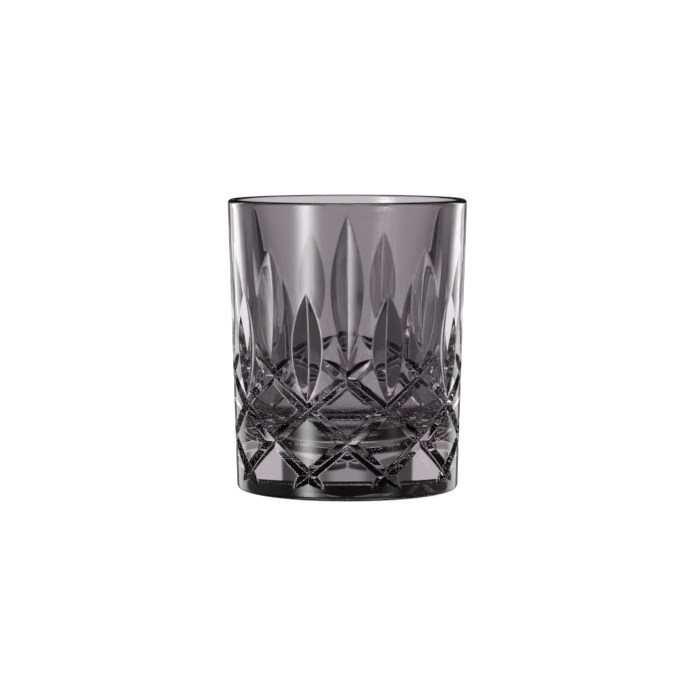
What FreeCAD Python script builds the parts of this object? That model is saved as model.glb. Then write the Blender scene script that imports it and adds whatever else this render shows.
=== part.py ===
"""Whisky tumbler: one piece of pressed smoke glass with a pattern of leaves and crossing mitres.

Frame: millimetres, +Z up, origin at the middle of the foot, on the surface that the glass stands on.
A tall leaf of the pattern faces -Y, which is the front.
"""
import FreeCAD
import Part
import math
import os

# ---- overall sizes ----
HEIGHT = 98.0                # foot to lip
RIM_RADIUS = 40.35           # outside of the wall just under the lip
FOOT_RADIUS = 37.4           # where the straight side would reach the floor without its heel
LIP_THICKNESS = 2.6          # the lip is a full round of this thickness
HEEL_RADIUS = 1.8            # rounding between side and foot

# ---- cavity ----
BOWL_LOW_Z = 12.9            # solid glass under the middle of the bowl-shaped cavity floor
BOWL_RADIUS = 60.0           # radius of the floor's sphere
WALL_FOOT_RADIUS = 32.01     # where the inner wall would meet the floor, before the rounding
WALL_WAIST_Z = 57.6
WALL_WAIST_RADIUS = 34.4     # inner wall at the waist's height
CAVITY_FILLET = 16.0         # rounding between inner wall and floor

# ---- underside: the foot is a ring round a shallow dish ----
DISH_RADIUS = 31.0
DISH_SHOULDER = 2.5
DISH_DEPTH = 0.7

# ---- the pattern ----
REPEATS = 9                  # cells round the glass
CELL = 360.0 / REPEATS
TALL_EVERY = 3               # every third upper leaf is a tall one
FRONT = -90.0                # azimuth of the first tall leaf, in degrees

# Leaves are marks of a V-edged wheel: lower tip z, upper tip z, half width at the middle.
TALL_LEAF = (45.1, 94.9, 5.3)
MIDDLE_LEAF = (45.8, 83.0, 5.3)
SHORT_LEAF = (32.4, 68.4, 5.3)
LEAF_TILT = 15.3             # each face of a leaf leans this far from the wall, in degrees

# Mitres are V grooves that wind round the glass. Each crosses those of the other hand.
MITRE_LEVELS = 4
MITRE_TOP_Z = 40.7           # level of the uppermost crossing
MITRE_STEP_Z = 10.75         # drop from one level of crossings to the next
MITRE_RISE = 12.0            # how far a mitre runs on above its uppermost crossing, in degrees
MITRE_FALL = 8.0             # and below its lowest
MITRE_DEPTH = 1.35
MITRE_TILT = 34.0            # each face of a mitre leans this far from the wall, in degrees
MITRE_FADE = 7.0             # the depth fades out over this much of each end, in degrees
MITRE_OVERRUN = 0.8          # the cutter starts and stops this far beyond the mitre, in degrees
CUTTER_CLEARANCE = 1.4       # how far a mitre's cutter stands out of the wall
PATH_POINTS = 17


def side_radius(z):
    """Outer radius of the uncut glass at height z: a straight taper."""
    return FOOT_RADIUS + (RIM_RADIUS - FOOT_RADIUS) * z / (HEIGHT - LIP_THICKNESS / 2)


SIDE_LEAN = math.degrees(math.atan2(RIM_RADIUS - FOOT_RADIUS, HEIGHT - LIP_THICKNESS / 2))


def in_profile(radius, z):
    """A point of the half section that is turned about Z."""
    return FreeCAD.Vector(radius, 0, z)


def foot_and_heel():
    """Lower edges of the half section, from the axis out to the top of the heel."""
    heel_middle = side_radius(HEEL_RADIUS) - HEEL_RADIUS
    diagonal = HEEL_RADIUS * math.sqrt(0.5)
    dish_edge = in_profile(DISH_RADIUS - DISH_SHOULDER, DISH_DEPTH)
    ring_inside = in_profile(DISH_RADIUS, 0)
    ring_outside = in_profile(heel_middle, 0)
    heel_corner = in_profile(heel_middle + diagonal, HEEL_RADIUS - diagonal)
    heel_top = in_profile(heel_middle + HEEL_RADIUS, HEEL_RADIUS)
    return [
        Part.makeLine(in_profile(0, DISH_DEPTH), dish_edge),
        Part.makeLine(dish_edge, ring_inside),
        Part.makeLine(ring_inside, ring_outside),
        Part.Arc(ring_outside, heel_corner, heel_top).toShape(),
    ]


def bowl_z(radius):
    """Height of the cavity's floor at a distance from the axis: the lower part of a sphere."""
    return BOWL_LOW_Z + BOWL_RADIUS - math.sqrt(BOWL_RADIUS ** 2 - radius ** 2)


def wall_and_cavity():
    """The other edges of the half section: side, rounded lip, bowed inner wall, bowl and axis."""
    lip_z = HEIGHT - LIP_THICKNESS / 2
    heel_top = in_profile(side_radius(HEEL_RADIUS), HEEL_RADIUS)
    lip_outside = in_profile(RIM_RADIUS, lip_z)
    lip_crest = in_profile(RIM_RADIUS - LIP_THICKNESS / 2, HEIGHT)
    lip_inside = in_profile(RIM_RADIUS - LIP_THICKNESS, lip_z)
    waist = in_profile(WALL_WAIST_RADIUS, WALL_WAIST_Z)
    bowl_rim = in_profile(WALL_FOOT_RADIUS, bowl_z(WALL_FOOT_RADIUS))
    bowl_side = in_profile(WALL_FOOT_RADIUS / 2, bowl_z(WALL_FOOT_RADIUS / 2))
    bowl_low = in_profile(0, BOWL_LOW_Z)
    return [
        Part.makeLine(heel_top, lip_outside),
        Part.Arc(lip_outside, lip_crest, lip_inside).toShape(),
        Part.Arc(lip_inside, waist, bowl_rim).toShape(),
        Part.Arc(bowl_rim, bowl_side, bowl_low).toShape(),
        Part.makeLine(bowl_low, in_profile(0, DISH_DEPTH)),
    ]


def blank():
    """The glass before its pattern, with the floor of the cavity rounded into its wall."""
    half_section = Part.Face(Part.Wire(foot_and_heel() + wall_and_cavity()))
    turned = half_section.revolve(FreeCAD.Vector(0, 0, 0), FreeCAD.Vector(0, 0, 1), 360)
    solid = Part.Solid(turned.Shells[0])
    floor_circle = [
        edge for edge in solid.Edges
        if edge.BoundBox.ZLength < 1e-6
        and abs(edge.BoundBox.ZMin - bowl_z(WALL_FOOT_RADIUS)) < 1e-6
    ]
    return solid.makeFillet(CAVITY_FILLET, floor_circle)


def leaf_wheel(leaf, azimuth):
    """The V-edged wheel that cuts one leaf: two cones base to base, with a tangential axle.

    Its radius is that of the circle whose chord is the leaf's length and whose sagitta is its depth.
    """
    lower, upper, half_width = leaf
    middle = (lower + upper) / 2
    half_length = (upper - lower) / 2
    slope = math.tan(math.radians(LEAF_TILT))
    surface = side_radius(middle)
    depth = half_width * slope + half_width ** 2 / (2 * surface)
    radius = (half_length ** 2 + depth ** 2) / (2 * depth)
    half_thickness = 2 * half_width
    half_wheel = Part.makeCone(radius, radius - half_thickness * slope, half_thickness)
    other_half = half_wheel.mirror(FreeCAD.Vector(0, 0, 0), FreeCAD.Vector(0, 0, 1))
    wheel = half_wheel.fuse(other_half).removeSplitter()
    wheel.rotate(FreeCAD.Vector(0, 0, 0), FreeCAD.Vector(1, 0, 0), 90)
    wheel.translate(FreeCAD.Vector(radius - depth, 0, 0))
    wheel.rotate(FreeCAD.Vector(0, 0, 0), FreeCAD.Vector(0, 1, 0), SIDE_LEAN)
    wheel.translate(FreeCAD.Vector(surface, 0, middle))
    wheel.rotate(FreeCAD.Vector(0, 0, 0), FreeCAD.Vector(0, 0, 1), azimuth)
    return wheel


def mitre_depth(along, length):
    """Depth of a mitre at an angle along it: full in its run, and fading parabolically at its ends."""
    from_end = min(along, length - along)
    missing = max(0.0, 1.0 - from_end / MITRE_FADE)
    return MITRE_DEPTH * (1.0 - missing ** 2)


def mitre_path(azimuth, hand):
    """The valley of one mitre. azimuth is that of its uppermost crossing; hand is +1 or -1."""
    level_angle = CELL / 2
    length = MITRE_RISE + (MITRE_LEVELS - 1) * level_angle + MITRE_FALL
    points = []
    for index in range(PATH_POINTS):
        along = -MITRE_OVERRUN + (length + 2 * MITRE_OVERRUN) * index / (PATH_POINTS - 1)
        turn = along - MITRE_RISE
        z = MITRE_TOP_Z - turn / level_angle * MITRE_STEP_Z
        radius = side_radius(z) - mitre_depth(along, length)
        angle = math.radians(azimuth + hand * turn)
        points.append(FreeCAD.Vector(radius * math.cos(angle), radius * math.sin(angle), z))
    curve = Part.BSplineCurve()
    curve.interpolate(points)
    return points[0], Part.Wire([curve.toShape()])


def mitre_cutter(azimuth, hand):
    """A V carried down a winding path, kept upright, so its half width is measured up the wall."""
    start, path = mitre_path(azimuth, hand)
    height = MITRE_DEPTH + CUTTER_CLEARANCE
    run = math.radians(CELL / 2) * side_radius(MITRE_TOP_Z)
    lead = math.atan2(MITRE_STEP_Z, run)
    half_width = height / math.tan(math.radians(MITRE_TILT)) / math.cos(lead)
    outwards = FreeCAD.Vector(start.x, start.y, 0).normalize() * height
    upwards = FreeCAD.Vector(0, 0, half_width)
    section = Part.makePolygon([start, start + outwards + upwards, start + outwards - upwards, start])
    pipe = Part.BRepOffsetAPI.MakePipeShell(path)
    pipe.setBiNormalMode(FreeCAD.Vector(0, 0, 1))
    pipe.add(section)
    pipe.build()
    pipe.makeSolid()
    return pipe.shape()


def leaf_wheels():
    """Nine upper leaves, one in three of them tall, and a short leaf between each pair."""
    wheels = []
    for cell in range(REPEATS):
        azimuth = FRONT + cell * CELL
        upper_leaf = TALL_LEAF if cell % TALL_EVERY == 0 else MIDDLE_LEAF
        wheels.append(leaf_wheel(upper_leaf, azimuth))
        wheels.append(leaf_wheel(SHORT_LEAF, azimuth + CELL / 2))
    return wheels


def mitre_cutters():
    """One mitre of each hand from every crossing of the uppermost level."""
    return [mitre_cutter(FRONT + cell * CELL, hand) for cell in range(REPEATS) for hand in (1, -1)]


os.makedirs("parts", exist_ok=True)
uncut = blank()
print("blank, cm3:", round(uncut.Volume / 1000, 2))
tumbler = uncut.cut(leaf_wheels()).cut(mitre_cutters())
print("cut, cm3:", round(tumbler.Volume / 1000, 2), "solids:", len(tumbler.Solids), "valid:", tumbler.isValid())
tumbler.exportStep("parts/tumbler.step")
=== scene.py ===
# %% [markdown]
# # A whisky tumbler of smoke-grey pressed glass
#
# The real thing is one piece of glass: a rounded lip, a straight side that opens slightly upwards, a
# thick base, and a pattern of pointed leaves over a lattice of crossing V grooves, called mitres.
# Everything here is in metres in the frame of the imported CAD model, which is loaded first.

# %% The frame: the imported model
import math

import bpy
import numpy as np
from mathutils.geometry import delaunay_2d_cdt
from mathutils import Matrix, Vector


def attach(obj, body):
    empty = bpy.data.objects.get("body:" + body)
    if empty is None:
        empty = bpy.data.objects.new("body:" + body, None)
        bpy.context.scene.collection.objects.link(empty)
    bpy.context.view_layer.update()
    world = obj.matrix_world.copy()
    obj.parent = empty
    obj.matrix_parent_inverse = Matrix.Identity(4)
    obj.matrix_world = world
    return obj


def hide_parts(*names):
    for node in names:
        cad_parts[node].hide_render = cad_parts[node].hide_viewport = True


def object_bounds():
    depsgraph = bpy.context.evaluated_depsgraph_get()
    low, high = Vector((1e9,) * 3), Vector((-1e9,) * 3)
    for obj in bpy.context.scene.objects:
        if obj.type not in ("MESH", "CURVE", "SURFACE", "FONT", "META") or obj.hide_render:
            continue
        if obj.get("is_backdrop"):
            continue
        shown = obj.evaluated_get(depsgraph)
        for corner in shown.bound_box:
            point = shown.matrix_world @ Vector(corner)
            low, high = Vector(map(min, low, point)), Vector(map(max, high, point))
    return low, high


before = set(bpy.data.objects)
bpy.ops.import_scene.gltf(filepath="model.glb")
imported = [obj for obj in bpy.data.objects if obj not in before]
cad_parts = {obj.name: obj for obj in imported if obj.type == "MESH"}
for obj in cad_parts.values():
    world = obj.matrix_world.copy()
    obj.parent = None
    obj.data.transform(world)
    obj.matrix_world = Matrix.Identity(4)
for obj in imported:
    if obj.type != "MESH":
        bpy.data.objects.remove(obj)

CAD_LOW, CAD_HIGH = (list(corner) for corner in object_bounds())
print("CAD box, mm:", [round(1000 * value, 2) for value in CAD_LOW + CAD_HIGH])

# %% [markdown]
# ## The sizes of the glass
#
# The pattern was cut into the CAD solid with wheels and swept cutters. Here the same cuts are written as
# formulas, because clear glass shows every crease: light bends sharply at each one, so the mesh has to
# have an edge exactly along each valley and outline, which a general tessellation doesn't give.
# Lengths are millimetres and angles are degrees until the very end. An angle round the glass is called
# a turn: 0 is the front, and it grows towards +X.

# %% Sizes of the body
MM = 0.001
HEIGHT = 1000 * CAD_HIGH[2]
RIM_RADIUS = 1000 * CAD_HIGH[0]
FOOT_RADIUS = 37.4
LIP_THICKNESS = 2.6
HEEL_RADIUS = 1.8
CAVITY_FLOOR_Z = 18.5
BOWL_LOW_Z = 12.9
BOWL_RADIUS = 60.0
CAVITY_WAIST_RADIUS = 34.4
CAVITY_FLOOR_RADIUS = 31.8
CAVITY_FILLET = 16.0
DISH_RADIUS = 31.0
DISH_SHOULDER = 2.5
DISH_DEPTH = 0.7
LIP_Z = HEIGHT - LIP_THICKNESS / 2


def side_radius(z):
    """Outer radius of the uncut wall: a straight line from the foot's radius to the rim's."""
    return FOOT_RADIUS + (RIM_RADIUS - FOOT_RADIUS) * z / LIP_Z


print("height", round(HEIGHT, 2), "rim radius", round(RIM_RADIUS, 2))

# %% Sizes of the cuts
CELL = 40.0                      # the pattern repeats nine times round the glass
LEAF_DEPTH_SHARE = 0.34          # a leaf's depth over its half width
LEAF_FLATNESS = 0.85             # how much of a leaf's face is flat; the rest of it bulges
TALL_LEAF = (45.1, 94.9, 5.3)    # lower tip, upper tip, half width
MIDDLE_LEAF = (45.8, 83.0, 5.3)
SHORT_LEAF = (32.4, 68.4, 5.3)
MITRE_TOP_Z = 40.7               # level of the uppermost crossing
MITRE_STEP_Z = 10.75             # drop from one level of crossings to the next
MITRE_LEVELS = 4
MITRE_RISE = 12.0                # how far a mitre runs on above its uppermost crossing, in degrees
MITRE_FALL = 8.0                 # and below its lowest
MITRE_DEPTH = 1.35
MITRE_SLOPE = math.tan(math.radians(34.0))
MITRE_FADE = 7.0                 # the depth fades out over this much of each end
VALLEY_ROUNDING = 0.12           # a valley's bottom, in mm across
EDGE_ROUNDING = 0.035            # where two depths meet, in mm of depth
FADE_WIDTH = 1.0                 # strip under the lip and over the heel where the pattern fades out
MITRE_LENGTH = MITRE_RISE + (MITRE_LEVELS - 1) * CELL / 2 + MITRE_FALL
TURN_PER_MM = CELL / 2 / MITRE_STEP_Z
MITRE_LEAD = math.atan(MITRE_STEP_Z / (math.radians(CELL / 2) * side_radius(MITRE_TOP_Z)))

# The pattern has mirror planes 60 degrees apart, so one wedge between two of them holds all of it.
WEDGE = 60.0
LEAVES = [(0.0, *TALL_LEAF), (20.0, *SHORT_LEAF), (40.0, *MIDDLE_LEAF), (60.0, *SHORT_LEAF)]
MITRES = [(turn, hand) for turn in (-40.0, 0.0, 40.0, 80.0, 120.0) for hand in (1.0, -1.0)]
print("mitre lead, degrees:", round(math.degrees(MITRE_LEAD), 2), "length in turn:", MITRE_LENGTH)

# %% [markdown]
# ## The cuts as functions of turn and height
#
# A leaf is two slightly bulging faces that meet in an upright valley, deepest in the middle. A mitre is
# a V groove along a helix. Each cut is described by its depth below the uncut wall, and the deepest cut
# at a place wins. A pressed glass is polished by fire, so where two depths meet, the larger one is taken
# softly, which rounds every edge and every valley by less than a tenth of a millimetre.

# %% Depth of the cuts
def soft_larger(first, second):
    """The larger of two depths, rounded where they meet: mean plus half the root of their gap squared."""
    return (first + second + np.sqrt((first - second) ** 2 + 4 * EDGE_ROUNDING ** 2)) / 2


def soft_distance(across):
    """Distance from a valley's line, rounded at the line itself."""
    return np.sqrt(across ** 2 + VALLEY_ROUNDING ** 2)


def leaf_depth(turn, z, leaf_turn, low, high, half_width):
    """Depth of one leaf. Both its width and its depth shrink with the square of the way to a tip.

    Across it, depth falls from the valley to the outline partly in a line and partly as a square.
    """
    to_tip = (z - (low + high) / 2) / ((high - low) / 2)
    left = np.clip(1 - to_tip ** 2, 1e-4, None)
    across = soft_distance(np.radians(turn - leaf_turn) * side_radius(z))
    way = 1 - across / (half_width * left)
    face = LEAF_FLATNESS * way + (1 - LEAF_FLATNESS) * np.clip(way, 0, None) ** 2
    return np.where(np.abs(to_tip) < 1, half_width * LEAF_DEPTH_SHARE * left * face, -1.0)


def run_depth(along):
    """Depth of a mitre's valley: full in its run, less by the square of the way into each end."""
    missing = np.clip(1 - np.minimum(along, MITRE_LENGTH - along) / MITRE_FADE, 0, None)
    return MITRE_DEPTH * (1 - missing ** 2)


def mitre_depth(turn, z, mitre_turn, hand):
    """Depth of one mitre: its run's depth, less its slope times the distance square to its helix."""
    below = TURN_PER_MM * (MITRE_TOP_Z - z)
    along = (hand * (turn - mitre_turn) + below) / 2 + MITRE_RISE
    across = np.radians(turn - mitre_turn - hand * below) * side_radius(z) * math.sin(MITRE_LEAD)
    return run_depth(along) - soft_distance(across) * MITRE_SLOPE


def border_fade(z):
    """One over most of the wall, and down to nothing in the last millimetre before heel and lip."""
    way = np.clip(np.minimum(z - HEEL_RADIUS, LIP_Z - z) / FADE_WIDTH, 0, 1)
    return way ** 2 * (3 - 2 * way)


def pattern_depth(turn, z):
    """Depth of the whole pattern: the softly larger of no cut, every leaf and every mitre.

    The rounding leaves a few thousandths of a millimetre of depth even between cuts. It fades out at
    the borders, so that the wall meets the plain lip and heel exactly.
    """
    depth = np.zeros(np.broadcast(turn, z).shape)
    for leaf in LEAVES:
        depth = soft_larger(depth, leaf_depth(turn, z, *leaf))
    for mitre in MITRES:
        depth = soft_larger(depth, mitre_depth(turn, z, *mitre))
    return depth * border_fade(z)


probe = pattern_depth(np.array([0.0, 20.0, 40.0, 30.0]), np.array([70.0, 50.4, 64.4, 92.0]))
print("depth at the middle of a tall, a short and a middle leaf, and on plain wall:", probe.round(3))

# %% [markdown]
# ## Laying the creases out flat
#
# Unrolled, the wedge is a rectangle, and every crease is a line drawn on it: leaf outlines and valleys,
# the edges and valleys of the mitres, and the short lines where two mitres mitre into each other. A
# constrained Delaunay triangulation then fills the rectangle with triangles that never cross a crease.
# A plain grid would be simpler, but its squares would cut across the slanting valleys as tiny steps.

# %% Crease lines
SPACING = 0.9
RUN_LENGTH = 0.87                # mm of valley for each degree of a mitre's run
FLAT_RADIUS = side_radius(HEIGHT / 2)
RIM_SEGMENTS = 240


def line_steps(start, end, length):
    """Values from start to end, evenly spaced so that steps along a line of that length suit the mesh."""
    return np.linspace(start, end, max(2, round(abs(length) / SPACING) + 1))


def leaf_lines(turn, low, high, half_width):
    """A leaf's valley, and its outline on both sides: half width times one less the square to a tip."""
    angle = line_steps(0, math.pi, high - low)
    to_tip = -np.cos(angle)
    z = (low + high) / 2 + to_tip * (high - low) / 2
    reach = np.degrees(half_width * (1 - to_tip ** 2) / side_radius(z))
    return [np.column_stack([turn + side * reach, z]) for side in (-1, 0, 1)]


def mitre_lines(turn, hand):
    """A mitre's valley and two edges. The edges are run depth over slope away, square to the valley."""
    along = line_steps(0, MITRE_LENGTH, MITRE_LENGTH * RUN_LENGTH)
    lines = []
    for side in (-1, 0, 1):
        run = along - MITRE_RISE
        z = MITRE_TOP_Z - run / TURN_PER_MM
        across = side * run_depth(along) / MITRE_SLOPE
        shift = np.degrees(across / side_radius(z) / math.sin(MITRE_LEAD)) / 2
        lines.append(np.column_stack([turn + hand * (run + shift), z + shift / TURN_PER_MM]))
    return lines


def crossing_lines(turn, z):
    """The upright and the level ridge where the faces of two crossing mitres meet."""
    half = MITRE_DEPTH / MITRE_SLOPE
    level = np.degrees(half / math.sin(MITRE_LEAD) / side_radius(z))
    upright = half / math.cos(MITRE_LEAD)
    steps = np.linspace(-1, 1, 7)
    return [np.column_stack([turn + steps * level, np.full(len(steps), z)]),
            np.column_stack([np.full(len(steps), turn), z + steps * upright])]


def border_lines():
    """The rectangle's own four sides. The level ones match the rings of the lip and the heel."""
    rim = np.linspace(0, WEDGE, round(RIM_SEGMENTS * WEDGE / 360) + 1)
    upright = np.linspace(HEEL_RADIUS, LIP_Z, round((LIP_Z - HEEL_RADIUS) / SPACING) + 1)
    return [np.column_stack([rim, np.full(len(rim), HEEL_RADIUS)]),
            np.column_stack([rim, np.full(len(rim), LIP_Z)]),
            np.column_stack([np.zeros(len(upright)), upright]),
            np.column_stack([np.full(len(upright), WEDGE), upright])]


def all_lines():
    """Every line that the triangles must not cross."""
    lines = border_lines()
    for leaf in LEAVES:
        lines += leaf_lines(*leaf)
    for mitre in MITRES:
        lines += mitre_lines(*mitre)
    for level in range(MITRE_LEVELS):
        for cell in range(-1, 3):
            lines += crossing_lines(cell * CELL + level * CELL / 2 % CELL, MITRE_TOP_Z - level * MITRE_STEP_Z)
    return lines


CREASES = all_lines()
print("lines:", len(CREASES), "points on them:", sum(len(line) for line in CREASES))

# %% Triangles that respect the creases
MARGIN = 3.0
ROW_GAP = 0.3
BORDERS = 4                      # the rectangle's own sides come first in the list of lines
LATTICE_ROW = 0.87               # height of a row of a triangular lattice over its spacing


def flanking_rows(lines, scale):
    """Lines beside each crease on both sides, through points square to the middles of its steps.

    They bound the strip in which a valley or an edge is rounded, so that the strip has an even width.
    """
    rows = []
    for line in lines:
        flat = line * scale
        middle = (flat[1:] + flat[:-1]) / 2
        way = flat[1:] - flat[:-1]
        square = np.column_stack([-way[:, 1], way[:, 0]]) / np.linalg.norm(way, axis=1, keepdims=True)
        rows += [(middle + side * ROW_GAP * square) / scale for side in (-1, 1)]
    return rows


def filling_points(near):
    """A level triangular lattice of points over the rectangle, less those close to a line's points."""
    width = math.radians(WEDGE) * FLAT_RADIUS
    rows = np.arange(HEEL_RADIUS + SPACING, LIP_Z - SPACING / 2, SPACING * LATTICE_ROW)
    columns = np.arange(SPACING, width - SPACING / 2, SPACING)
    x, y = np.meshgrid(columns, rows)
    x = x + SPACING / 2 * (np.arange(len(rows)) % 2)[:, None]
    points = np.column_stack([x.ravel(), y.ravel()])
    points = points[points[:, 0] < width - SPACING / 2]
    gap = np.full(len(points), 1e9)
    for block in np.array_split(near, 20):
        gap = np.minimum(gap, np.linalg.norm(points[:, None] - block[None], axis=2).min(axis=1))
    return points[gap > SPACING * 0.45]


def drawn_lines(scale):
    """Points in mm and edges of every crease and row that comes near the wedge."""
    points, edges = [], []
    count = 0
    for line in CREASES + flanking_rows(CREASES[BORDERS:], scale):
        inside = (line[:, 0] > -MARGIN) & (line[:, 0] < WEDGE + MARGIN)
        index = count + np.arange(len(line))
        edges.append(np.column_stack([index[:-1], index[1:]])[inside[:-1] | inside[1:]])
        points.append(line * scale)
        count += len(line)
    points, edges = np.vstack(points), np.vstack(edges)
    used = np.unique(edges)
    renumber = np.zeros(count, int)
    renumber[used] = np.arange(len(used))
    return points[used], renumber[edges]


def snapped(turn, z):
    """The same places, with those on the wedge's own sides and rings put exactly on them."""
    turn = np.where(np.abs(turn) < 1e-3, 0.0, turn)
    turn = np.where(np.abs(turn - WEDGE) < 1e-3, WEDGE, turn)
    step = 360 / RIM_SEGMENTS
    for ring in (HEEL_RADIUS, LIP_Z):
        on_ring = np.abs(z - ring) < 1e-3
        turn = np.where(on_ring, np.round(turn / step) * step, turn)
        z = np.where(on_ring, ring, z)
    return np.column_stack([turn, z])


def triangulate_wedge():
    """Turn and z of the wedge's points, and its triangles, as index triples facing outwards."""
    scale = np.array([math.radians(1) * FLAT_RADIUS, 1.0])
    drawn, edges = drawn_lines(scale)
    flat = np.vstack([drawn, filling_points(drawn)])
    solved = delaunay_2d_cdt(flat.tolist(), edges.tolist(), [], 0, 0.01)
    corners = np.array([tuple(point) for point in solved[0]])
    triangles = np.array(solved[2])
    middle = corners[triangles].mean(axis=1)
    keep = ((middle[:, 0] > 0) & (middle[:, 0] < scale[0] * WEDGE)
            & (middle[:, 1] > HEEL_RADIUS) & (middle[:, 1] < LIP_Z))
    triangles = triangles[keep]
    a, b, c = (corners[triangles[:, k]] for k in range(3))
    area = (b - a)[:, 0] * (c - a)[:, 1] - (b - a)[:, 1] * (c - a)[:, 0]
    triangles = np.where(area[:, None] > 0, triangles, triangles[:, ::-1])[np.abs(area) > 1e-7]
    return snapped(*(corners / scale).T), triangles


wedge_points, wedge_triangles = triangulate_wedge()
print("wedge:", len(wedge_points), "points,", len(wedge_triangles), "triangles")

# %% [markdown]
# ## From the flat wedge to the round wall
#
# Each point gets its radius: the uncut wall less the pattern's depth. Its normal is worked out from the
# same formula rather than averaged from the triangles round it, which keeps the faces free of ripples.

# %% Places and normals of the wedge
STEP = 0.02


def wall_point(turn, z):
    """A point of the patterned wall: radius is uncut wall less depth, carried round by the turn."""
    radius = side_radius(z) - pattern_depth(turn, z)
    angle = np.radians(turn)
    return np.stack([radius * np.sin(angle), -radius * np.cos(angle), z], axis=-1)


def wall_normal(turn, z):
    """Outward unit normal: the cross product of small steps round the wall and up it."""
    round_wall = wall_point(turn + STEP, z) - wall_point(turn - STEP, z)
    up_wall = wall_point(turn, z + STEP) - wall_point(turn, z - STEP)
    normal = np.cross(round_wall, up_wall)
    return normal / np.linalg.norm(normal, axis=-1, keepdims=True)


def turned(vectors, turn):
    """The same vectors carried round the glass by a turn in degrees."""
    c, s = math.cos(math.radians(turn)), math.sin(math.radians(turn))
    return vectors @ np.array([[c, s, 0], [-s, c, 0], [0, 0, 1]])


def patterned_wall():
    """The wedge and its mirror image, three times round."""
    turn, z = wedge_points.T
    places = wall_point(turn, z)[wedge_triangles]
    normals = wall_normal(turn, z)[wedge_triangles]
    flip = np.array([-1.0, 1.0, 1.0])
    places = np.concatenate([places, (places * flip)[:, ::-1]])
    normals = np.concatenate([normals, (normals * flip)[:, ::-1]])
    return (np.concatenate([turned(places, 2 * WEDGE * k) for k in range(3)]),
            np.concatenate([turned(normals, 2 * WEDGE * k) for k in range(3)]))


wall_places, wall_normals = patterned_wall()
print("patterned wall:", len(wall_places), "triangles")

# %% [markdown]
# ## Lip, cavity and foot
#
# The rest of the glass is plain, so it is a profile turned about the axis, as on a lathe. The plunger
# that pressed the cavity left it smooth: a slightly bowed wall, a wide rounding and a bowl-shaped floor.
# Under the foot a shallow dish leaves a ring to stand on. The profile runs from the top of the side,
# over the lip, down the cavity, and back from the middle of the underside to the top of the heel.

# %% Turned profiles
def arc(centre_r, centre_z, radius, start, end, count):
    """Points and normals of an arc, by angle from +r towards +z in degrees. Normals point from its centre."""
    angle = np.radians(np.linspace(start, end, count))
    normal = np.column_stack([np.cos(angle), np.sin(angle)])
    return np.array([centre_r, centre_z]) + radius * normal, normal


def bowed_wall(count):
    """Inner wall from lip to floor: the circle through its top, its waist and its foot.

    Drawn as a chord with a parabolic bow, which is within a hundredth of a millimetre of that circle.
    """
    top = np.array([RIM_RADIUS - LIP_THICKNESS, LIP_Z])
    foot = np.array([CAVITY_FLOOR_RADIUS, CAVITY_FLOOR_Z])
    bow = CAVITY_WAIST_RADIUS - (top[0] + foot[0]) / 2
    way = np.linspace(0, 1, count)
    radius = top[0] + (foot[0] - top[0]) * way + 4 * bow * way * (1 - way)
    z = top[1] + (foot[1] - top[1]) * way
    slope = ((foot[0] - top[0]) + 4 * bow * (1 - 2 * way)) / (foot[1] - top[1])
    normal = np.column_stack([-np.ones(count), slope])
    return np.column_stack([radius, z]), normal / np.linalg.norm(normal, axis=1, keepdims=True)


def cavity_profile():
    """Bowed wall, the corner that touches both wall and bowl, and the bowl in to the axis.

    The corner's middle lies its own radius inside the wall and its own radius above the bowl's sphere.
    """
    wall, wall_normal_2d = bowed_wall(48)
    bowl_z = BOWL_LOW_Z + BOWL_RADIUS
    reach = BOWL_RADIUS - CAVITY_FILLET
    inset = wall + CAVITY_FILLET * wall_normal_2d
    miss = np.hypot(inset[:, 0], inset[:, 1] - bowl_z) - reach
    touch = np.abs(np.where(inset[:, 1] < bowl_z, miss, 1e9)).argmin()
    centre = inset[touch]
    start = math.degrees(math.atan2(-wall_normal_2d[touch, 1], -wall_normal_2d[touch, 0]))
    meet = math.degrees(math.atan2(centre[1] - bowl_z, centre[0]))
    corner, corner_normal = arc(centre[0], centre[1], CAVITY_FILLET, start, meet, 18)
    bowl, bowl_normal = arc(0.0, bowl_z, BOWL_RADIUS, meet, -90, 30)
    bowl[-1, 0] = 0.0
    return (np.vstack([wall[:touch], corner, bowl[1:]]),
            np.vstack([wall_normal_2d[:touch], -corner_normal, -bowl_normal[1:]]))


def lip_profile():
    """Half a circle from the outside of the lip, over its crest, to the inside."""
    return arc(RIM_RADIUS - LIP_THICKNESS / 2, LIP_Z, LIP_THICKNESS / 2, 0, 180, 17)


def foot_profile():
    """From the axis: the dish, its shoulder as a soft S, the standing ring, and the rounded heel."""
    heel_middle = side_radius(HEEL_RADIUS) - HEEL_RADIUS
    dish_r = np.linspace(0, DISH_RADIUS - DISH_SHOULDER, 12)
    way = np.linspace(0, 1, 9)[1:]
    shoulder_r = DISH_RADIUS + (way - 1) * DISH_SHOULDER
    shoulder_z = DISH_DEPTH * (1 - way ** 2 * (3 - 2 * way))
    shoulder_rise = -DISH_DEPTH * 6 * way * (1 - way) / DISH_SHOULDER
    shoulder_normal = np.column_stack([shoulder_rise, -np.ones(len(way))])
    ring_r = np.linspace(DISH_RADIUS, heel_middle, 6)[1:-1]
    heel, heel_normal = arc(heel_middle, HEEL_RADIUS, HEEL_RADIUS, -90, 0, 9)
    points = np.vstack([
        np.column_stack([dish_r, np.full(len(dish_r), DISH_DEPTH)]),
        np.column_stack([shoulder_r, shoulder_z]),
        np.column_stack([ring_r, np.zeros(len(ring_r))]),
        heel,
    ])
    down = np.tile([0.0, -1.0], (len(dish_r), 1))
    normals = np.vstack([down, shoulder_normal, down[:len(ring_r)], heel_normal])
    return points, normals / np.linalg.norm(normals, axis=1, keepdims=True)


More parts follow.
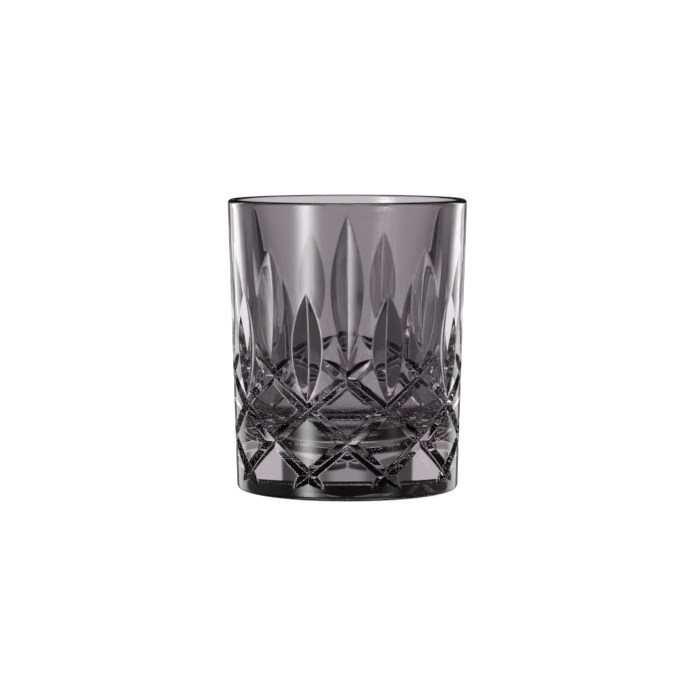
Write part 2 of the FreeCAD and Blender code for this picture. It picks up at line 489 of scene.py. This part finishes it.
def turned_profile(points, normals):
    """Triangles of a profile carried round the axis. Two corners that fall on the axis make a fan."""
    turn = np.radians(np.arange(RIM_SEGMENTS + 1) * 360 / RIM_SEGMENTS)
    spin = np.stack([np.sin(turn), -np.cos(turn)], axis=-1)
    place = np.concatenate([points[:, None, :1] * spin[None], np.broadcast_to(
        points[:, None, 1:], (len(points), len(turn), 1))], axis=-1)
    normal = np.concatenate([normals[:, None, :1] * spin[None], np.broadcast_to(
        normals[:, None, 1:], (len(points), len(turn), 1))], axis=-1)

    def triangles(grid):
        a, b, c, d = grid[:-1, :-1], grid[:-1, 1:], grid[1:, 1:], grid[1:, :-1]
        return np.concatenate([np.stack([a, b, c], axis=2).reshape(-1, 3, 3),
                               np.stack([a, c, d], axis=2).reshape(-1, 3, 3)])

    place, normal = triangles(place), triangles(normal)
    size = np.linalg.norm(np.cross(place[:, 1] - place[:, 0], place[:, 2] - place[:, 0]), axis=1)
    return place[size > 1e-9], normal[size > 1e-9]


def plain_parts():
    """Lip and cavity in one profile, whose shared points keep one normal, and the foot in another."""
    lip, lip_normal = lip_profile()
    cavity, cavity_normal = cavity_profile()
    upper = turned_profile(np.vstack([lip, cavity[1:]]), np.vstack([lip_normal, cavity_normal[1:]]))
    lower = turned_profile(*foot_profile())
    return np.concatenate([upper[0], lower[0]]), np.concatenate([upper[1], lower[1]])


plain_places, plain_normals = plain_parts()
print("plain parts:", len(plain_places), "triangles")

# %% [markdown]
# ## Joining it into one closed skin
#
# Glass only refracts properly when its skin is closed, with every face looking outwards, so the parts
# are joined on their shared rings. Corners that coincide become one vertex, and every edge must then
# belong to exactly two triangles. Each triangle is turned so that it agrees with its corner normals.

# %% The glass as one mesh
def facing_outwards(places, normals):
    """Reverses the triangles whose winding disagrees with the normals they carry."""
    winding = np.cross(places[:, 1] - places[:, 0], places[:, 2] - places[:, 0])
    wrong = (winding * normals.mean(axis=1)).sum(axis=1) < 0
    flipped_places, flipped_normals = places[:, ::-1], normals[:, ::-1]
    pick = wrong[:, None, None]
    return np.where(pick, flipped_places, places), np.where(pick, flipped_normals, normals)


def closed_mesh(name, places, normals):
    """A mesh of triangles from their corners in mm, with coinciding corners joined and normals kept."""
    corners = places.reshape(-1, 3)
    _, first, index = np.unique(np.round(corners * 2000).astype(np.int64), axis=0,
                                return_index=True, return_inverse=True)
    triangles = index.reshape(-1, 3)
    whole = ((triangles[:, 0] != triangles[:, 1]) & (triangles[:, 1] != triangles[:, 2])
             & (triangles[:, 2] != triangles[:, 0]))
    triangles, normals = triangles[whole], normals[whole]
    sides = [triangles[:, [0, 1]], triangles[:, [1, 2]], triangles[:, [2, 0]]]
    pairs = np.sort(np.concatenate(sides), axis=1)
    _, uses = np.unique(pairs, axis=0, return_counts=True)
    print(name, "triangles:", len(triangles), "edges not shared by exactly two:", int((uses != 2).sum()))
    mesh = bpy.data.meshes.new(name)
    mesh.from_pydata((corners[first] * MM).tolist(), [], triangles.tolist())
    mesh.shade_smooth()
    mesh.normals_split_custom_set(normals.reshape(-1, 3).tolist())
    mesh.update()
    return mesh


skin = facing_outwards(np.concatenate([wall_places, plain_places]),
                       np.concatenate([wall_normals, plain_normals]))
tumbler = bpy.data.objects.new("tumbler_glass", closed_mesh("tumbler_glass", *skin))
bpy.context.scene.collection.objects.link(tumbler)
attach(tumbler, "root")
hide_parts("tumbler")

# %% [markdown]
# ## Smoke-grey glass
#
# Most of the smoke tint is a thin skin that every ray crosses, so the wall and the base come out nearly
# alike. A weak volume inside absorbs a little more green than red and blue, which deepens the thick
# base. Pressed glass is never quite flat, so a faint bump bends the light softly. The ring that the
# glass stands on is scuffed from use, so it is slightly rough there.

# %% Shader helper
class Wire:
    """A socket's output that adds Math nodes when it is used in an expression."""

    def __init__(self, tree, socket):
        self.tree = tree
        self.socket = socket

    def maths(self, operation, first, second):
        return make_node(self.tree, "ShaderNodeMath", {"operation": operation}, {0: first, 1: second})

    def __add__(self, other):
        return self.maths("ADD", self, other)

    def __mul__(self, other):
        return self.maths("MULTIPLY", self, other)

    def __sub__(self, other):
        return self.maths("SUBTRACT", self, other)

    def __rsub__(self, other):
        return self.maths("SUBTRACT", other, self)

    __radd__ = __add__
    __rmul__ = __mul__


def make_node(tree, kind, settings, inputs, output=0):
    """A node of that type: its settings first, then the values or links of its sockets."""
    node = tree.nodes.new(kind)
    for name, value in settings.items():
        setattr(node, name, value)
    for name, value in inputs.items():
        if isinstance(value, Wire):
            tree.links.new(value.socket, node.inputs[name])
        else:
            node.inputs[name].default_value = value
    return Wire(tree, node.outputs[output]) if output is not None else None


# %% The glass
GLASS_IOR = 1.54                 # a little above window glass, as a brilliant table glass has
SKIN_TINT = (0.523, 0.494, 0.517, 1.0)
ABSORB_PER_M = (9.6, 10.4, 10.1)    # absorption coefficients for red, green and blue
ABSORB_DENSITY = 20.0
WAVE_SCALE = 55.0                # waves per metre, roughly
WAVE_STRENGTH = 0.12
WAVE_HEIGHT = 0.0004
SCUFF_SCALE = 900.0
SCUFF_TOP = 0.0004               # scuffs reach this far up from the table, in metres
SCUFF_ROUGHNESS = 0.15


def smoke_glass():
    """Tinted glass with a soft waviness and a scuffed standing ring, round an absorbing volume.

    The scuffs are noise that is masked to the lowest fraction of a millimetre, where the foot touches.
    """
    material = bpy.data.materials.new("smoke_glass")
    material.use_nodes = True
    tree = material.node_tree
    tree.nodes.clear()
    place = make_node(tree, "ShaderNodeTexCoord", {}, {}, "Object")
    waves = make_node(tree, "ShaderNodeTexNoise", {}, {"Vector": place, "Scale": WAVE_SCALE, "Detail": 1.0})
    bump = make_node(tree, "ShaderNodeBump", {}, {
        "Height": waves, "Strength": WAVE_STRENGTH, "Distance": WAVE_HEIGHT})
    scuffs = make_node(tree, "ShaderNodeTexNoise", {}, {"Vector": place, "Scale": SCUFF_SCALE, "Detail": 4.0})
    height = make_node(tree, "ShaderNodeSeparateXYZ", {}, {0: place}, "Z")
    touching = make_node(tree, "ShaderNodeMapRange", {}, {
        "Value": height, "From Min": SCUFF_TOP / 2, "From Max": SCUFF_TOP, "To Min": 1.0, "To Max": 0.0})
    shader = make_node(tree, "ShaderNodeBsdfPrincipled", {}, {
        "Base Color": SKIN_TINT,
        "Roughness": scuffs * touching * SCUFF_ROUGHNESS,
        "IOR": GLASS_IOR,
        "Transmission Weight": 1.0,
        "Normal": bump,
    })
    colour = tuple(1 - value / ABSORB_DENSITY for value in ABSORB_PER_M) + (1.0,)
    volume = make_node(tree, "ShaderNodeVolumeAbsorption", {}, {"Color": colour, "Density": ABSORB_DENSITY})
    make_node(tree, "ShaderNodeOutputMaterial", {}, {"Surface": shader, "Volume": volume}, None)
    print("smoke glass:", len(tree.nodes), "nodes, index", GLASS_IOR)
    return material


tumbler.data.materials.append(smoke_glass())

# %% [markdown]
# ## Floor
#
# The glass stands on a plain pale table. The table glows a little so that it reads as white paper up
# to the horizon. It lies a hair under the foot and is hidden from rays that have been through the
# glass: what those should see is drawn by the world below.

# %% Floor
FLOOR_HALF = 4.0
FLOOR_Z = -0.0003
FLOOR_GLOW = 0.9


def plain_floor():
    """A large square of matt pale material, staged so that it isn't part of the object."""
    corners = [(x * FLOOR_HALF, y * FLOOR_HALF, FLOOR_Z) for x, y in ((-1, -1), (1, -1), (1, 1), (-1, 1))]
    mesh = bpy.data.meshes.new("floor")
    mesh.from_pydata(corners, [], [(0, 1, 2, 3)])
    floor = bpy.data.objects.new("floor", mesh)
    bpy.context.scene.collection.objects.link(floor)
    material = bpy.data.materials.new("pale_floor")
    material.use_nodes = True
    shader = material.node_tree.nodes["Principled BSDF"]
    shader.inputs["Base Color"].default_value = (0.8, 0.8, 0.8, 1)
    shader.inputs["Roughness"].default_value = 0.9
    shader.inputs["Specular IOR Level"].default_value = 0.0
    shader.inputs["Emission Color"].default_value = (1, 1, 1, 1)
    shader.inputs["Emission Strength"].default_value = FLOOR_GLOW
    mesh.materials.append(material)
    floor.visible_transmission = False
    floor.visible_glossy = False
    floor.visible_volume_scatter = False
    floor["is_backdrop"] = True
    print("floor:", 2 * FLOOR_HALF, "m square")


plain_floor()

# %% [markdown]
# ## Light
#
# Clear glass shows only what surrounds it, so the light is a studio drawn as a world. Directly behind
# the glass the table is bright, then it falls away in two steps, and a broad white card stands on each
# side of the middle: those cards are the bright windows in the solid base. The room above the horizon is
# dark, and the underside mirrors it, which makes the base nearly black. Two tall softboxes on the side
# of the lens put the upright highlights on the wall. Azimuth is 0 straight behind the glass, grows
# towards +X, and reaches 180 degrees at the lens. Heights are the z of a ray's direction, so 0 is the
# horizon and -1 is straight down. The lens itself sees plain white behind the glass.

# %% World
# Luminance of the table straight behind the glass, of the shade beside that, and where they meet.
BEHIND_LIGHT = 1.15
SHADE_LIGHT = 0.40
SHADE_START = 3.2
SHADE_END = 8.8
# The shade is deeper beside the cards, which keeps the base dark between its windows.
DEEP_LIGHT = 0.22
DEEP_START = 12.0
DEEP_END = 18.0
# The white cards: where each starts and ends, and how far down they can be seen.
CARD_LIGHT = 1.66
CARD_START = 26.0
CARD_END = 51.0
CARD_DROP = (-0.50, -0.20)
CARD_BLUR = 5.0
# The sides, the front beside the lens, the room above the horizon and the table right underneath.
SIDE_LIGHT = 0.22
FRONT_LIGHT = 0.07
FRONT_START = 100.0
FRONT_END = 130.0
ROOM_LIGHT = 0.01
UNDER_LIGHT = 0.3
UNDER_DROP = (-0.97, -0.90)
# The table close to the glass lies in its shadow: only this share of its light is left.
NEAR_SHARE = 0.08
NEAR_DROP = (-0.75, -0.30)
HORIZON_BLUR = 0.03
SOFTBOXES = [(-139.0, 9.0, 8.0), (132.0, 7.0, 0.5)]    # azimuth of the middle, spread, luminance
SOFTBOX_FOOT = (-0.60, -0.35)
SOFTBOX_HEAD = (0.50, 0.80)
BACKDROP_LIGHT = 1.1


def ramp(tree, value, start, end, low, high):
    """A smooth change from low to high while the value goes from start to end."""
    return make_node(tree, "ShaderNodeMapRange", {"interpolation_type": "SMOOTHSTEP"}, {
        "Value": value, "From Min": start, "From Max": end, "To Min": low, "To Max": high})


def table_light(tree, off_middle, z):
    """The table and its cards, by angle off the middle and by how far down the ray points."""
    card_end = (CARD_END - CARD_BLUR, CARD_END + CARD_BLUR)
    open_table = (ramp(tree, off_middle, SHADE_START, SHADE_END, BEHIND_LIGHT, SHADE_LIGHT)
                  + ramp(tree, off_middle, DEEP_START, DEEP_END, 0, DEEP_LIGHT - SHADE_LIGHT)
                  + ramp(tree, off_middle, *card_end, 0, SIDE_LIGHT - DEEP_LIGHT)
                  + ramp(tree, off_middle, FRONT_START, FRONT_END, 0, FRONT_LIGHT - SIDE_LIGHT))
    card = (ramp(tree, off_middle, CARD_START - 1, CARD_START + 1, 0, CARD_LIGHT)
            * ramp(tree, off_middle, *card_end, 1, 0))
    return (open_table * ramp(tree, z, *NEAR_DROP, NEAR_SHARE, 1)
            + card * ramp(tree, z, *CARD_DROP, 0, 1)
            + ramp(tree, z, *UNDER_DROP, UNDER_LIGHT, 0))


def softbox_light(tree, azimuth, z):
    """The tall softboxes: a bell curve across each, fading out towards its foot and its head."""
    light = 0.0
    for middle, spread, luminance in SOFTBOXES:
        off = (azimuth - middle) * (1 / spread)
        bell = make_node(tree, "ShaderNodeMath", {"operation": "EXPONENT"}, {0: off * off * -1})
        light = bell * luminance + light
    return light * ramp(tree, z, *SOFTBOX_FOOT, 0, 1) * ramp(tree, z, *SOFTBOX_HEAD, 1, 0)


def studio_world():
    """The zones above for every ray but the lens's own, which sees the backdrop."""
    world = bpy.data.worlds.new("studio")
    bpy.context.scene.world = world
    world.use_nodes = True
    tree = world.node_tree
    tree.nodes.clear()
    direction = make_node(tree, "ShaderNodeTexCoord", {}, {}, "Generated")
    x, y, z = (make_node(tree, "ShaderNodeSeparateXYZ", {}, {0: direction}, axis) for axis in "XYZ")
    azimuth = make_node(tree, "ShaderNodeMath", {"operation": "ARCTAN2"}, {0: x, 1: y}) * (180 / math.pi)
    off_middle = make_node(tree, "ShaderNodeMath", {"operation": "ABSOLUTE"}, {0: azimuth})
    above = ramp(tree, z, 0.0, HORIZON_BLUR, 0, 1)
    seen = table_light(tree, off_middle, z) * (1 - above) + above * ROOM_LIGHT
    seen = seen + softbox_light(tree, azimuth, z)
    is_lens = make_node(tree, "ShaderNodeLightPath", {}, {}, "Is Camera Ray")
    strength = seen * (1 - is_lens) + is_lens * BACKDROP_LIGHT
    background = make_node(tree, "ShaderNodeBackground", {}, {"Strength": strength, "Color": (1, 1, 1, 1)})
    make_node(tree, "ShaderNodeOutputWorld", {}, {"Surface": background}, None)
    print("world:", len(tree.nodes), "nodes,", len(SOFTBOXES), "tall softboxes")


studio_world()

# %% [markdown]
# ## Overhead lamp
#
# One large soft lamp hangs over the table. It puts the fine light line along the lip.

# %% Overhead lamp
def overhead_lamp(across, above, luminance):
    """A round area lamp that looks straight down, with its power worked out from its luminance."""
    lamp = bpy.data.lights.new("overhead", "AREA")
    lamp.shape = "DISK"
    lamp.size = across
    area = math.pi * (across / 2) ** 2
    lamp.energy = luminance * math.pi * area
    spot = bpy.data.objects.new("overhead", lamp)
    spot.location = (0.0, 0.0, above)
    bpy.context.scene.collection.objects.link(spot)
    print("overhead lamp:", round(lamp.energy, 2), "W at", above, "m")


overhead_lamp(across=1.3, above=1.65, luminance=2.0)

# %% [markdown]
# ## Camera
#
# A long lens about a metre off, a little above the lip, looking down by five degrees. So the rim shows
# as a flat ellipse and the upright edges of the glass stay parallel.

# %% Camera
def studio_camera(place, look_down, lens):
    """A camera that looks towards +Y and down by that many degrees."""
    camera = bpy.data.cameras.new("camera")
    camera.sensor_width = 36.0
    camera.lens = lens
    camera.clip_end = 50.0
    eye = bpy.data.objects.new("camera", camera)
    eye.location = place
    eye.rotation_euler = (math.radians(90 - look_down), 0, 0)
    bpy.context.scene.collection.objects.link(eye)
    bpy.context.scene.camera = eye
    print("camera at", place)


studio_camera(place=(0.0009, -1.0225, 0.136), look_down=4.985, lens=156.0)

# %% Light paths and tones
bpy.context.scene.view_settings.view_transform = "Standard"
bpy.context.scene.cycles.max_bounces = 24
bpy.context.scene.cycles.transmission_bounces = 24
bpy.context.scene.cycles.glossy_bounces = 12
